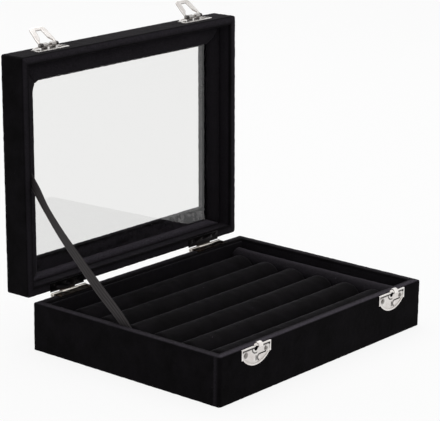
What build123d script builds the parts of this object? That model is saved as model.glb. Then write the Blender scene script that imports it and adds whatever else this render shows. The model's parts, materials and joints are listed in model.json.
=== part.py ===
from build123d import *
import math
import os

# Ring display box: a velvet-covered fibreboard base with six ring rolls, and a hinged lid with a
# glass window.  Millimetres.  X runs along the front, Y from the front to the hinges, Z up; the
# origin is the centre of the underside.  The lid stands open at its stop and its two latch loops
# are swung back, as the box is displayed.  The lid is drawn closed, then turned about its hinges.

# Overall size
box_length = 200.0
box_depth = 150.0
base_height = 30.8
lid_height = 18.2
lid_open_angle = 91.0

# Sheet and board thicknesses
velvet = 0.5
wall_board = 4.5
bottom_board = 3.0
window_board = 4.0
underside_thickness = 0.6
lining = 0.5
liner_thickness = 1.5
liner_below_rim = 1.5
corner_radius = 1.3
rim_radius = 0.8
fold_share = 0.9  # of the cloth's thickness, rounded where it folds over the top edge

# Ring rolls and end pads
roll_count = 6
roll_gap = 0.6
roll_end_space = 1.4
roll_below_rim = 5.3
roll_side_relief = 1.2
roll_end_length = 5.0
roll_end_drop = 4.0
roll_end_taper = 0.3
pad_width = 12.2
pad_below_rim = 3.8
pad_side_relief = 0.7
pad_ribbon_space = 0.4
soft_space = 0.3

# Window
window_border = 18.7
glass_thickness = 2.0
glass_space = 0.5
strip_width = 12.2
hinge_strip_width = 4.8
strip_height = 4.0
strip_side_height = 1.6

# Hinges
hinge_from_end = 34.0
hinge_length = 30.0
hinge_below_rim = 0.7
leaf_thickness = 0.4
leaf_gap = 0.2
leaf_rim_inset = 0.7
leaf_root_inset = 0.7
knuckle_radius = 1.5
knuckle_wall_space = 1.2
knuckle_leaf_space = 0.2
knuckle_middle = 13.6
knuckle_gap = 0.2
hinge_pin_radius = 0.7
hinge_pin_fit = 0.05

# Catch plates on the base and latch plates on the lid
latch_from_end = 32.0
plate_thickness = 0.6
plate_width = 27.0
plate_side = 6.5
plate_shoulder = 1.3
plate_drop = 12.0
plate_border_width = 1.1
plate_border_height = 0.35
catch_below_rim = 0.4
latch_below_top = 1.2

# Hook of the catch plate, the window under it, and the spring bump between its slits
hook_width = 3.8
hook_inner_radius = 1.6
hook_centre_rise = 0.5
hook_lip_length = 0.6
hook_window_radius = 1.6
hook_window_drop = 1.9
bump_radius = 1.7
bump_height = 0.8
bump_drop = 8.0
bump_offset = 3.0
slit_width = 0.8
slit_length = 3.2
slit_drop = 5.7

# Latch loops, their pins and the ears that hold them
pivot_in_plate = 4.6
ear_plate_space = 0.9
ear_radius = 1.5
ear_side_space = 0.2
ear_inner = 1.6
ear_web = 1.6
loop_thickness = 1.0
loop_near_half = 7.6
loop_far_half = 6.3
loop_bar = 2.5
loop_leg = 1.9
loop_shoulder = 4.5
loop_corner = 2.5
loop_hook_space = 0.4
eye_start = 2.7
eye_shoulder = 5.2
eye_shoulder_half = 3.6
eye_hook_space = 0.6
loop_rest_angle = 40.0
loop_barrel_radius = 1.3
latch_pin_radius = 0.6
latch_pin_fit = 0.06
pin_head_radius = 1.0
pin_head_height = 0.5

# Nails
nail_radius = 0.5
nail_length = 4.0
nail_head_radius = 1.1
nail_head_height = 0.4
nail_fit = 0.02
hinge_nail_spacing = 10.0
plate_nail_inset = 4.1
plate_nail_drop = 4.2

# Ribbon stay, pulled straight between the walls; its two places are given from the hinge axis
ribbon_width = 7.0
ribbon_thickness = 0.4
ribbon_wall_space = 0.1
ribbon_before_hinge = 70.85
ribbon_above_hinge = 77.0
ribbon_into_lid = 5.8
ribbon_foot_below_rim = 10.8

# Places that follow from the sizes
half_length = box_length / 2
half_depth = box_depth / 2
wall = wall_board + 2 * velvet
inner_x = half_length - wall
inner_y = half_depth - wall
board_x = half_length - velvet
board_y = half_depth - velvet
cavity_x = board_x - wall_board
cavity_y = board_y - wall_board
floor_top = underside_thickness + bottom_board
tray_floor = floor_top + lining
lid_rim = base_height + 2 * leaf_thickness + leaf_gap
lid_top = lid_rim + lid_height
panel_top = lid_top - velvet
panel_bottom = panel_top - window_board
glass_top = panel_bottom - velvet
glass_bottom = glass_top - glass_thickness
strip_bottom = glass_bottom - strip_height
window_x = half_length - window_border
window_y = half_depth - window_border
liner_y = inner_y - liner_thickness
pad_outer_x = inner_x - ribbon_wall_space - ribbon_thickness - pad_ribbon_space
pad_inner_x = pad_outer_x - pad_width
roll_pitch = 2 * (liner_y - roll_end_space) / roll_count
roll_top = base_height - roll_below_rim
pad_top = base_height - pad_below_rim
hinge_y = half_depth + knuckle_wall_space + knuckle_radius
hinge_z = base_height - hinge_below_rim
catch_edge = base_height - catch_below_rim
latch_edge = lid_top - latch_below_top - plate_drop
plate_face = -half_depth - plate_thickness
hook_y = plate_face - hook_inner_radius
hook_z = catch_edge + hook_centre_rise
hook_outer_radius = hook_inner_radius + plate_thickness
pivot_y = plate_face - ear_plate_space - ear_radius
pivot_z = latch_edge + pivot_in_plate
hinge_centres = {"left": -half_length + hinge_from_end, "right": half_length - hinge_from_end}
latch_centres = {"left": -half_length + latch_from_end, "right": half_length - latch_from_end}


# Shared shapes -------------------------------------------------------------------------------

def block(x0, x1, y0, y1, z0, z1):
    """A box between two opposite corners."""
    centre = ((x0 + x1) / 2, (y0 + y1) / 2, (z0 + z1) / 2)
    return Pos(*centre) * Box(x1 - x0, y1 - y0, z1 - z0)


def centred_block(half_x, half_y, z0, z1):
    """A box centred on the Z axis."""
    return block(-half_x, half_x, -half_y, half_y, z0, z1)


def rounded_block(half_x, half_y, z0, z1, radius):
    """A centred box with its upright edges rounded."""
    body = centred_block(half_x, half_y, z0, z1)
    return fillet(body.edges().filter_by(Axis.Z), radius)


def rod_x(radius, x0, x1, y, z):
    """A round bar along X."""
    return Pos((x0 + x1) / 2, y, z) * Rot(0, 90, 0) * Cylinder(radius, x1 - x0)


def rod_y(radius, y0, y1, x, z):
    """A round bar along Y."""
    return Pos(x, (y0 + y1) / 2, z) * Rot(90, 0, 0) * Cylinder(radius, y1 - y0)


def closed_face(lines):
    """A flat face inside a closed run of lines and arcs."""
    return make_face([edge for line in lines for edge in line.edges()])


def polygon_face(points):
    """A flat face through 3-D corner points."""
    return closed_face([Polyline(*points, close=True)])


def domed_face(place, half_width, foot, side_top, crown):
    """A section with a flat foot, upright sides and an arc on top; place maps (across, up)."""
    foot_left, foot_right = place(-half_width, foot), place(half_width, foot)
    side_left, side_right = place(-half_width, side_top), place(half_width, side_top)
    dome = ThreePointArc(side_right, place(0, crown), side_left)
    return closed_face([Line(foot_left, foot_right), Line(foot_right, side_right), dome,
                        Line(side_left, foot_left)])


def edges_at_height(body, height):
    """All edges of a body that lie flat at one height."""
    boxes = [(edge, edge.bounding_box()) for edge in body.edges()]
    return [edge for edge, box in boxes
            if abs(box.min.Z - height) < 1e-4 and abs(box.max.Z - height) < 1e-4]


def four_walls(z0, z1):
    """Front, back, left and right boards of a frame; the long ones run the full length."""
    frame = rounded_block(board_x, board_y, z0, z1, corner_radius - velvet)
    front = frame & block(-board_x, board_x, -board_y, -cavity_y, z0, z1)
    back = frame & block(-board_x, board_x, cavity_y, board_y, z0, z1)
    left = block(-board_x, -cavity_x, -cavity_y, cavity_y, z0, z1)
    right = block(cavity_x, board_x, -cavity_y, cavity_y, z0, z1)
    return {"front": front, "back": back, "left": left, "right": right}


# Base: boards, velvet, linings ---------------------------------------------------------------

def base_wrap(boards):
    """Velvet over the outside, the rim and the inside of the base walls."""
    skin = rounded_block(half_length, half_depth, underside_thickness, base_height, corner_radius)
    skin -= centred_block(inner_x, inner_y, floor_top, base_height)
    skin = fillet(edges_at_height(skin, base_height), rim_radius)
    skin -= centred_block(cavity_x, cavity_y, underside_thickness, floor_top)
    for board in boards:
        skin -= board
    return skin


def add_base(base):
    boards = four_walls(underside_thickness, base_height - velvet)
    for side, board in boards.items():
        base[f"base_{side}_board"] = board
    base["base_bottom_board"] = centred_block(cavity_x, cavity_y, underside_thickness, floor_top)
    base["base_velvet_wrap"] = base_wrap(boards.values())
    base["underside_sheet"] = rounded_block(half_length, half_depth, 0, underside_thickness, corner_radius)
    base["tray_lining"] = centred_block(inner_x, inner_y, floor_top, tray_floor)
    liner_top = base_height - liner_below_rim
    base["front_liner"] = block(-inner_x, inner_x, -inner_y, -liner_y, tray_floor, liner_top)
    base["back_liner"] = block(-inner_x, inner_x, liner_y, inner_y, tray_floor, liner_top)


# Ring rolls and end pads ---------------------------------------------------------------------

def roll_section(x, y, drop):
    """Cross-section of a roll at x, with its crown lowered and its sides drawn in."""
    half_width = (roll_pitch - roll_gap) / 2 - roll_end_taper * drop
    crown = roll_top - drop
    side_top = crown - half_width + roll_side_relief

    def place(across, up):
        return x, y + across, up

    return domed_face(place, half_width, tray_floor, side_top, crown)


def ring_roll(y):
    """A foam bolster along X whose two ends round down, built through sections."""
    half = pad_inner_x - soft_space
    rounding = []
    for share in (0.0, 0.08, 0.24, 0.52, 1.0):
        drop = roll_end_drop * (1 - math.sqrt(1 - (1 - share) ** 2))
        rounding.append((half - share * roll_end_length, drop))
    sections = [roll_section(-x, y, drop) for x, drop in rounding]
    sections += [roll_section(x, y, drop) for x, drop in reversed(rounding)]
    return loft(sections, ruled=True)


def end_pad(side):
    """The rounded ridge along Y that closes the ends of the rolls; side is -1 or 1."""
    start_y = -liner_y + soft_space
    middle_x = side * (pad_inner_x + pad_width / 2)
    side_top = pad_top - pad_width / 2 + pad_side_relief

    def place(across, up):
        return middle_x + across, start_y, up

    section = domed_face(place, pad_width / 2, tray_floor, side_top, pad_top)
    return extrude(section, amount=-2 * start_y, dir=(0, 1, 0))


def add_rolls(base):
    for index in range(roll_count):
        y = (index - (roll_count - 1) / 2) * roll_pitch
        base[f"ring_roll_{index + 1}"] = ring_roll(y)
    base["left_end_pad"] = end_pad(-1)
    base["right_end_pad"] = end_pad(1)


# Lid: boards, velvet, window -----------------------------------------------------------------

def lid_wrap(boards):
    """Velvet over the outside, the rim and the inside of the lid walls."""
    skin = rounded_block(half_length, half_depth, lid_rim, panel_top, corner_radius)
    skin -= centred_block(inner_x, inner_y, lid_rim, panel_top)
    skin = fillet(edges_at_height(skin, lid_rim), rim_radius)
    skin -= rounded_block(board_x, board_y, glass_top, panel_top, corner_radius - velvet)
    for board in boards:
        skin -= board
    return skin


def panel_wrap():
    """Velvet over the top of the window panel, through the window and under its border."""
    skin = rounded_block(half_length, half_depth, panel_top, lid_top, corner_radius)
    skin = fillet(edges_at_height(skin, lid_top), fold_share * velvet)
    skin += centred_block(window_x + velvet, window_y + velvet, glass_top, panel_top)
    skin += centred_block(cavity_x, cavity_y, glass_top, panel_bottom)
    return skin - centred_block(window_x, window_y, glass_top, lid_top)


def window_panel():
    """The lid's top board with the window cut out, less the cloth that lines the cut."""
    panel = rounded_block(board_x, board_y, panel_bottom, panel_top, corner_radius - velvet)
    return panel - centred_block(window_x + velvet, window_y + velvet, panel_bottom, panel_top)


def domed_bar(side, width):
    """A full-length bar along one lid wall, flat on the glass and domed below."""
    rise_foot, rise_side = glass_bottom, glass_bottom - strip_side_height
    along_x = side in ("front", "back")
    outward = -1 if side in ("front", "left") else 1
    middle = outward * ((inner_y if along_x else inner_x) - width / 2)

    def place(across, up):
        return (-half_length, middle + across, up) if along_x else (middle + across, -half_depth, up)

    section = domed_face(place, width / 2, rise_foot, rise_side, strip_bottom)
    if along_x:
        return extrude(section, amount=box_length, dir=(1, 0, 0))
    return extrude(section, amount=box_depth, dir=(0, 1, 0))


def glass_strips():
    """The four strips that hold the glass, mitred where they meet."""
    inside_x = inner_x - strip_width
    front_y, back_y = -inner_y + strip_width, inner_y - hinge_strip_width
    outlines = {
        "front": [(-inner_x, -inner_y), (inner_x, -inner_y), (inside_x, front_y), (-inside_x, front_y)],
        "back": [(-inner_x, inner_y), (inner_x, inner_y), (inside_x, back_y), (-inside_x, back_y)],
        "left": [(-inner_x, -inner_y), (-inner_x, inner_y), (-inside_x, back_y), (-inside_x, front_y)],
        "right": [(inner_x, -inner_y), (inner_x, inner_y), (inside_x, back_y), (inside_x, front_y)],
    }
    strips = {}
    for side, outline in outlines.items():
        bar = domed_bar(side, hinge_strip_width if side == "back" else strip_width)
        plan = polygon_face([(x, y, strip_bottom) for x, y in outline])
        strips[side] = bar & extrude(plan, amount=strip_height, dir=(0, 0, 1))
    return strips


def add_lid(lid):
    boards = four_walls(lid_rim + velvet, panel_bottom)
    for side, board in boards.items():
        lid[f"lid_{side}_board"] = board
    lid["window_panel"] = window_panel()
    lid["lid_velvet_wrap"] = lid_wrap(boards.values())
    lid["panel_velvet"] = panel_wrap()
    lid["window_glass"] = centred_block(inner_x - glass_space, inner_y - glass_space, glass_bottom, glass_top)
    for side, strip in glass_strips().items():
        lid[f"{side}_glass_strip"] = strip


# Nails ---------------------------------------------------------------------------------------

def sunk_nail(x, z, upward, spare=0.0):
    """A nail whose conical head lies flush in a hinge leaf; upward is 1 or -1, as its head faces."""
    y = half_depth - wall / 2
    head = Pos(0, 0, -leaf_thickness / 2) * Cone(
        nail_radius + spare, nail_head_radius + spare, leaf_thickness)
    shank = Pos(0, 0, -leaf_thickness - nail_length / 2) * Cylinder(nail_radius + spare, nail_length)
    turn = Rot(0, 0, 0) if upward > 0 else Rot(180, 0, 0)
    return Pos(x, y, z) * turn * (head + shank)


def plate_nail(x, z, spare=0.0):
    """A flat-headed nail driven through a plate into the front wall."""
    shank = rod_y(nail_radius + spare, plate_face, -half_depth + nail_length, x, z)
    return shank + rod_y(nail_head_radius, plate_face - nail_head_height, plate_face, x, z)


def drive_nails(pieces, group, carriers, nails, holes):
    """Store nails as one group and open their holes in the pieces that they pass through."""
    for name in carriers:
        for hole in holes:
            pieces[name] -= hole
    pieces[group] = Compound(children=[solid for nail in nails for solid in nail.solids()])


def nail_hinges(pieces, group, carriers, z, upward):
    """Three nails through each of the two hinge leaves."""
    places = [centre + step * hinge_nail_spacing for centre in hinge_centres.values() for step in (-1, 0, 1)]
    nails = [sunk_nail(x, z, upward) for x in places]
    holes = [sunk_nail(x, z, upward, nail_fit) for x in places]
    drive_nails(pieces, group, carriers, nails, holes)


def nail_plates(pieces, group, carriers, z):
    """Two nails through each of the two plates."""
    reach = plate_width / 2 - plate_nail_inset
    places = [centre + side * reach for centre in latch_centres.values() for side in (-1, 1)]
    nails = [plate_nail(x, z) for x in places]
    holes = [plate_nail(x, z, nail_fit) for x in places]
    drive_nails(pieces, group, carriers, nails, holes)


# Hinges --------------------------------------------------------------------------------------

def hinge_leaf(centre, low, high, owns_middle):
    """A leaf between two heights, with the middle knuckle or the two outer ones."""
    start, end = centre - hinge_length / 2, centre + hinge_length / 2
    middle_start, middle_end = centre - knuckle_middle / 2, centre + knuckle_middle / 2
    leaf_front = half_depth - wall + leaf_rim_inset
    leaf_back = hinge_y - knuckle_radius - knuckle_leaf_space
    leaf = block(start, end, leaf_front, leaf_back, low, high)
    spans = [(start, middle_start - knuckle_gap), (middle_end + knuckle_gap, end)]
    if owns_middle:
        spans = [(middle_start, middle_end)]
    for x0, x1 in spans:
        leaf += block(x0, x1, leaf_back, hinge_y - leaf_root_inset, low, high)
        leaf += rod_x(knuckle_radius, x0, x1, hinge_y, hinge_z)
        leaf -= rod_x(hinge_pin_radius + hinge_pin_fit, x0, x1, hinge_y, hinge_z)
    return leaf


def add_hinges(base, lid):
    base_face, lid_face = base_height + leaf_thickness, lid_rim - leaf_thickness
    for side, centre in hinge_centres.items():
        start, end = centre - hinge_length / 2, centre + hinge_length / 2
        base[f"{side}_hinge_base_leaf"] = hinge_leaf(centre, base_height, base_face, owns_middle=False)
        lid[f"{side}_hinge_lid_leaf"] = hinge_leaf(centre, lid_face, lid_rim, owns_middle=True)
        base[f"{side}_hinge_pin"] = rod_x(hinge_pin_radius, start, end, hinge_y, hinge_z)
    base_carriers = ("left_hinge_base_leaf", "right_hinge_base_leaf", "base_velvet_wrap", "base_back_board")
    lid_carriers = ("left_hinge_lid_leaf", "right_hinge_lid_leaf", "lid_velvet_wrap", "lid_back_board")
    nail_hinges(base, "hinge_base_nails", base_carriers, base_face, 1)
    nail_hinges(lid, "hinge_lid_nails", lid_carriers, lid_face, -1)


# Catches and latches -------------------------------------------------------------------------

def plate_outline(centre, edge, toward, inset):
    """Half-moon face with a straight edge, short sides and a shoulder; toward is 1 up, -1 down."""
    half = plate_width / 2 - inset
    arc_half = half - plate_shoulder
    start = edge + toward * inset
    side_end = edge + toward * plate_side
    arc_end = edge + toward * (plate_drop - inset)

    def at(across, height):
        return centre + across, -half_depth, height

    corners = [at(-arc_half, side_end), at(-half, side_end), at(-half, start),
               at(half, start), at(half, side_end), at(arc_half, side_end)]
    return closed_face([Polyline(*corners), ThreePointArc(corners[-1], at(0, arc_end), corners[0])])


def raised_plate(centre, edge, toward):
    """A stamped plate with a raised border."""
    outline = plate_outline(centre, edge, toward, 0)
    field = plate_outline(centre, edge, toward, plate_border_width)
    border_height = plate_thickness + plate_border_height
    border = extrude(outline, amount=border_height, dir=(0, -1, 0))
    border -= extrude(field, amount=border_height, dir=(0, -1, 0))
    return border + extrude(outline, amount=plate_thickness, dir=(0, -1, 0))


def hook(centre):
    """The tab that rises from the catch plate's edge and curls forward and down into a lip."""
    x0, x1 = centre - hook_width / 2, centre + hook_width / 2
    front, back = hook_y - hook_outer_radius, hook_y + hook_outer_radius
    curl = rod_x(hook_outer_radius, x0, x1, hook_y, hook_z)
    curl -= rod_x(hook_inner_radius, x0, x1, hook_y, hook_z)
    curl -= block(x0, x1, front, back, hook_z - hook_outer_radius, hook_z)
    lip = block(x0, x1, front, front + plate_thickness, hook_z - hook_lip_length, hook_z)
    tab = block(x0, x1, plate_face, -half_depth, catch_edge - plate_border_width, hook_z)
    return curl + lip + tab


def catch_plate(centre):
    """The base's plate: hook at the edge, window under it, spring bump beside its slits."""
    plate = raised_plate(centre, catch_edge, -1) + hook(centre)
    plate -= rod_y(hook_window_radius, hook_y, -half_depth, centre, catch_edge - hook_window_drop)
    bump_x, bump_z = centre + bump_offset, catch_edge - bump_drop
    slit_x, slit_z = bump_x - bump_radius - slit_width, catch_edge - slit_drop
    plate -= block(slit_x - slit_width, slit_x, plate_face, -half_depth,
                   bump_z - slit_length / 2, bump_z + slit_length / 2)
    plate -= block(bump_x, bump_x + 2 * slit_length, plate_face, -half_depth,
                   slit_z - slit_width, slit_z)
    ball = Pos(bump_x, plate_face + bump_radius - bump_height, bump_z) * Sphere(bump_radius)
    return plate + (ball & block(bump_x - bump_radius, bump_x + bump_radius, plate_face - bump_height,
                                 plate_face, bump_z - bump_radius, bump_z + bump_radius))


def latch_plate(centre):
    """The lid's plate with two rolled ears for the loop's pin."""
    plate = raised_plate(centre, latch_edge, 1)
    ear_outer = loop_near_half - loop_leg - ear_side_space
    for side in (-1, 1):
        x0, x1 = sorted((centre + side * ear_inner, centre + side * ear_outer))
        plate += block(x0, x1, pivot_y, -half_depth, pivot_z - ear_web / 2, pivot_z + ear_web / 2)
        plate += rod_x(ear_radius, x0, x1, pivot_y, pivot_z)
        plate -= rod_x(latch_pin_radius + latch_pin_fit, x0, x1, pivot_y, pivot_z)
    return plate


def latch_loop(centre):
    """The stamped loop, drawn straight down from its pivot, as it hangs when latched."""
    lip_reach = math.hypot(hook_y - hook_outer_radius - pivot_y, pivot_z - hook_z + hook_lip_length)
    eye_end = lip_reach + loop_hook_space
    length = eye_end + loop_bar
    leg_inside = loop_near_half - loop_leg
    eye_end_half = hook_width / 2 + eye_hook_space

    def sheet(half_outline):
        outline = [(across, reach) for across, reach in half_outline]
        outline += [(-across, reach) for across, reach in reversed(half_outline)]
        front = pivot_y + loop_thickness / 2
        face = polygon_face([(centre + across, front, pivot_z - reach) for across, reach in outline])
        return extrude(face, amount=loop_thickness, dir=(0, -1, 0))

    body = sheet([(loop_near_half, 0), (loop_near_half, loop_shoulder), (loop_far_half, length)])
    far_corners = [e for e in body.edges().filter_by(Axis.Y) if e.center().Z < pivot_z - eye_end]
    body = fillet(far_corners, loop_corner)
    body -= sheet([(leg_inside, -loop_barrel_radius), (leg_inside, eye_start),
                   (eye_shoulder_half, eye_shoulder), (eye_end_half, eye_end)])
    for side in (-1, 1):
        x0, x1 = sorted((centre + side * leg_inside, centre + side * loop_near_half))
        body += rod_x(loop_barrel_radius, x0, x1, pivot_y, pivot_z)
        body -= rod_x(latch_pin_radius + nail_fit, x0, x1, pivot_y, pivot_z)
    return body


def latch_pin(centre):
    """The riveted pin that carries the loop's two legs."""
    inner, outer = loop_near_half, loop_near_half + pin_head_height
    pin = rod_x(latch_pin_radius, centre - inner, centre + inner, pivot_y, pivot_z)
    pin += rod_x(pin_head_radius, centre - outer, centre - inner, pivot_y, pivot_z)
    return pin + rod_x(pin_head_radius, centre + inner, centre + outer, pivot_y, pivot_z)


def add_latches(base, lid, loops):
    for side, centre in latch_centres.items():
        base[f"{side}_catch_plate"] = catch_plate(centre)
        lid[f"{side}_latch_plate"] = latch_plate(centre)
        loops[f"{side}_latch_loop"] = latch_loop(centre)
        loops[f"{side}_latch_pin"] = latch_pin(centre)
    catch_carriers = ("left_catch_plate", "right_catch_plate", "base_velvet_wrap", "base_front_board")
    latch_carriers = ("left_latch_plate", "right_latch_plate", "lid_velvet_wrap", "lid_front_board")
    nail_plates(base, "catch_nails", catch_carriers, catch_edge - plate_nail_drop)
    nail_plates(lid, "latch_nails", latch_carriers, latch_edge + plate_nail_drop)


# Turning the lid and the loops ---------------------------------------------------------------

def open_lid(piece):
    """Turn a piece drawn on the closed lid back about the hinge pins."""
    return piece.rotate(Axis((0, hinge_y, hinge_z), (1, 0, 0)), -lid_open_angle)


def swing_back(piece):
    """Turn a piece of the latched loop up and away from the closed lid's front."""
    return piece.rotate(Axis((0, pivot_y, pivot_z), (1, 0, 0)), loop_rest_angle - 180)


# Ribbon stay ---------------------------------------------------------------------------------

def ribbon_stay():
    """A flat ribbon, pulled straight from the base's left wall to the open lid's left wall."""
    x0 = -inner_x + ribbon_wall_space
    x1 = x0 + ribbon_thickness
    lid_mark = open_lid(Vertex(x0, hinge_y - ribbon_above_hinge, hinge_z + ribbon_into_lid)).center()
    rim_mark = Vector(x0, hinge_y - ribbon_before_hinge, base_height)
    run, rise = lid_mark.Y - rim_mark.Y, lid_mark.Z - rim_mark.Z
    middle_y, middle_z = (lid_mark.Y + rim_mark.Y) / 2, (lid_mark.Z + rim_mark.Z) / 2
    overlong = Box(ribbon_thickness, 2 * math.hypot(run, rise), ribbon_width)
    strip = Pos((x0 + x1) / 2, middle_y, middle_z) * Rot(math.degrees(math.atan2(rise, run)), 0, 0) * overlong
    above_foot = block(x0, x1, -box_depth, box_depth, base_height - ribbon_foot_below_rim, box_length)
    before_strips = block(x0, x1, -box_depth, box_depth, -box_length, strip_bottom - soft_space)
    return strip & above_foot & open_lid(before_strips)


def main():
    base, lid, loops = {}, {}, {}
    add_base(base)
    add_rolls(base)
    add_lid(lid)
    add_hinges(base, lid)
    add_latches(base, lid, loops)
    base["ribbon_stay"] = ribbon_stay()
    pieces = dict(base)
    for name, piece in lid.items():
        pieces[name] = open_lid(piece)
    for name, piece in loops.items():
        pieces[name] = open_lid(swing_back(piece))
    os.makedirs("parts", exist_ok=True)
    for name, piece in pieces.items():
        export_step(piece, f"parts/{name}.step")
    print(f"{len(pieces)} pieces, roll pitch {roll_pitch:.2f}, hinge axis y {hinge_y:.2f} z {hinge_z:.2f}")


main()
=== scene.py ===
import json
import math

import bmesh
import bpy
from mathutils import Matrix, Vector, noise
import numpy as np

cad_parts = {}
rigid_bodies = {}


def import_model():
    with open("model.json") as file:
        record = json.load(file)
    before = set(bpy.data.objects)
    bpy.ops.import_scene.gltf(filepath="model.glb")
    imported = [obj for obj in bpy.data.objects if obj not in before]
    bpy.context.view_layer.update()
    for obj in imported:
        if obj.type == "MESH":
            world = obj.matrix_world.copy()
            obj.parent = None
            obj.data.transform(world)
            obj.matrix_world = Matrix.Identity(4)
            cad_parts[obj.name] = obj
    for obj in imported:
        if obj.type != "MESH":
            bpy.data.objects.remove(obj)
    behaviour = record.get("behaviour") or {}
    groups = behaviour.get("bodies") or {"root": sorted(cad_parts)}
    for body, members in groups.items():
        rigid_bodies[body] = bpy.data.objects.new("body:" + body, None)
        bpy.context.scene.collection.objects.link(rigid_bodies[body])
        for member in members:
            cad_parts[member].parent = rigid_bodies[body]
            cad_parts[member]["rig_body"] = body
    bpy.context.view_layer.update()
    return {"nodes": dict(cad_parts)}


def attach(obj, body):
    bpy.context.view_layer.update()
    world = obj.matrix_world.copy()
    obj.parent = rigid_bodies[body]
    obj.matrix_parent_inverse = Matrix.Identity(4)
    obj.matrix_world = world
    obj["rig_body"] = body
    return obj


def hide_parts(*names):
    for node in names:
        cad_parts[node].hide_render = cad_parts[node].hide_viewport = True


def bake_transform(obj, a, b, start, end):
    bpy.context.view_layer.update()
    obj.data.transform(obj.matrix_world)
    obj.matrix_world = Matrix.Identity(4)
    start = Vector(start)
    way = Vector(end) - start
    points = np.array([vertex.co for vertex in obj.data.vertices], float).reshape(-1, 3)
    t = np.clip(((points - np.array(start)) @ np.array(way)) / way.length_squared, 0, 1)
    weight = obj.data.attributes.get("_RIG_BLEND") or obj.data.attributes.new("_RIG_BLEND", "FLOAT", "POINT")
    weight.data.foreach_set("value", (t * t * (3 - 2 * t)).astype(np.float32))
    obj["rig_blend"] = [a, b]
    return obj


# Ring display box: looks.  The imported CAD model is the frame.  Sizes are written in millimetres and
# meshes are made in metres.  Lid pieces are drawn on the closed lid, and then swung open with it.
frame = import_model()


# Camera --------------------------------------------------------------------------------------
# Stands at the photograph's angle, found from the box's corners and its 200 x 150 mm outline.
# The lens is long, as for a product photograph, so the box looks nearly parallel.
scene = bpy.context.scene


def new_object(name, data):
    """An object of this data, in the scene."""
    made = bpy.data.objects.new(name, data)
    scene.collection.objects.link(made)
    return made


camera = new_object("camera", bpy.data.cameras.new("camera"))
camera.location = (-0.938151, -0.771120, 0.422455)
camera.rotation_euler = [math.radians(angle) for angle in (74.3921, -0.7616, -50.0117)]
camera.data.lens = 165.58
camera.data.sensor_width = 36
scene.camera = camera
scene.view_settings.view_transform = "Standard"


# Table and light -----------------------------------------------------------------------------
# A white laminate table under a large overhead softbox, with pale walls all round.  Camera, metal
# and glass see table and walls as plain white; the cloth gets their softer, dimmer light.
table_half = 4.0
shadow_share = 0.12  # of the table's white, left to real light so that the box keeps its shadow
wall_light = 0.55
softbox_side, softbox_power, softbox_place = 1.4, 9.0, (0.25, 0.35, 1.3)


def linear(hex_colour):
    """The linear colour that a shader takes, from an sRGB hex value."""
    parts = [int(hex_colour[i:i + 2], 16) / 255 for i in (1, 3, 5)]
    return tuple(c / 12.92 if c <= 0.04045 else ((c + 0.055) / 1.055) ** 2.4 for c in parts) + (1.0,)


def set_inputs(tree, node, inputs):
    """Give each input a value, or a link from another node's output."""
    for key, value in inputs.items():
        if isinstance(value, bpy.types.NodeSocket):
            tree.links.new(value, node.inputs[key])
        else:
            node.inputs[key].default_value = value


def add_node(tree, kind, inputs=None, ramp=(), **settings):
    """Add a node with options, the (place, colour) stops of a ramp, and inputs; give its outputs."""
    node = tree.nodes.new(kind)
    for option, value in settings.items():
        setattr(node, option, value)
    for i, (place, colour) in enumerate(ramp):
        node.color_ramp.elements[i].position = place
        node.color_ramp.elements[i].color = linear(colour)
    set_inputs(tree, node, inputs or {})
    return node.outputs


def seen_rays(tree):
    """1 for the rays of the camera, of gloss and of glass, and 0 for the rays that light cloth."""
    path = add_node(tree, "ShaderNodeLightPath")
    gloss = add_node(tree, "ShaderNodeMath", {
        0: path["Is Camera Ray"], 1: path["Is Glossy Ray"]}, operation="MAXIMUM")[0]
    return add_node(tree, "ShaderNodeMath", {
        0: gloss, 1: path["Is Transmission Ray"]}, operation="MAXIMUM")[0]


walls = bpy.data.worlds.new("pale_walls")
scene.world = walls
walls.use_nodes = True
tree = walls.node_tree
tree.nodes.clear()
dim = add_node(tree, "ShaderNodeBackground", {"Color": (1, 1, 1, 1), "Strength": wall_light})[0]
white = add_node(tree, "ShaderNodeBackground", {"Color": (1, 1, 1, 1), "Strength": 1.0})[0]
both = add_node(tree, "ShaderNodeMixShader", {0: seen_rays(tree), 1: dim, 2: white})[0]
add_node(tree, "ShaderNodeOutputWorld", {"Surface": both})

laminate = bpy.data.materials.new("white_laminate")
laminate.use_nodes = True
tree = laminate.node_tree
tree.nodes.clear()
matt = add_node(tree, "ShaderNodeBsdfDiffuse", {"Color": linear("#f4f4f4")})[0]
white = add_node(tree, "ShaderNodeEmission", {"Color": (1, 1, 1, 1), "Strength": 1.0})[0]
share = add_node(tree, "ShaderNodeMath", {
    0: seen_rays(tree), 1: 1 - shadow_share}, operation="MULTIPLY")[0]
both = add_node(tree, "ShaderNodeMixShader", {0: share, 1: matt, 2: white})[0]
add_node(tree, "ShaderNodeOutputMaterial", {"Surface": both})

table = new_object("table_top", bpy.data.meshes.new("table_top"))
corners = [(x * table_half, y * table_half, 0) for x, y in ((-1, -1), (1, -1), (1, 1), (-1, 1))]
table.data.from_pydata(corners, [], [(0, 1, 2, 3)])
table.data.materials.append(laminate)

softbox = new_object("softbox", bpy.data.lights.new("softbox", "AREA"))
softbox.data.size = softbox_side
softbox.data.energy = softbox_power
softbox.location = softbox_place
softbox.rotation_euler = softbox.location.to_track_quat("Z", "Y").to_euler()


# Boards --------------------------------------------------------------------------------------
# Walls, bottom and window panel are medium-density fibreboard, sawn and glued, all under velvet.
# A raw board is a flat pale brown mat of pressed fibres, about a millimetre long, with dark flecks.
mm = 0.001
fibre_length = 1.0


def new_finish(name, kind="ShaderNodeTexCoord", output="Object", **settings):
    """A new material, its node tree, its Principled shader, and the place that its patterns follow."""
    finish = bpy.data.materials.new(name)
    finish.use_nodes = True
    tree = finish.node_tree
    return finish, tree, tree.nodes["Principled BSDF"], add_node(tree, kind, **settings)[output]


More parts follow.
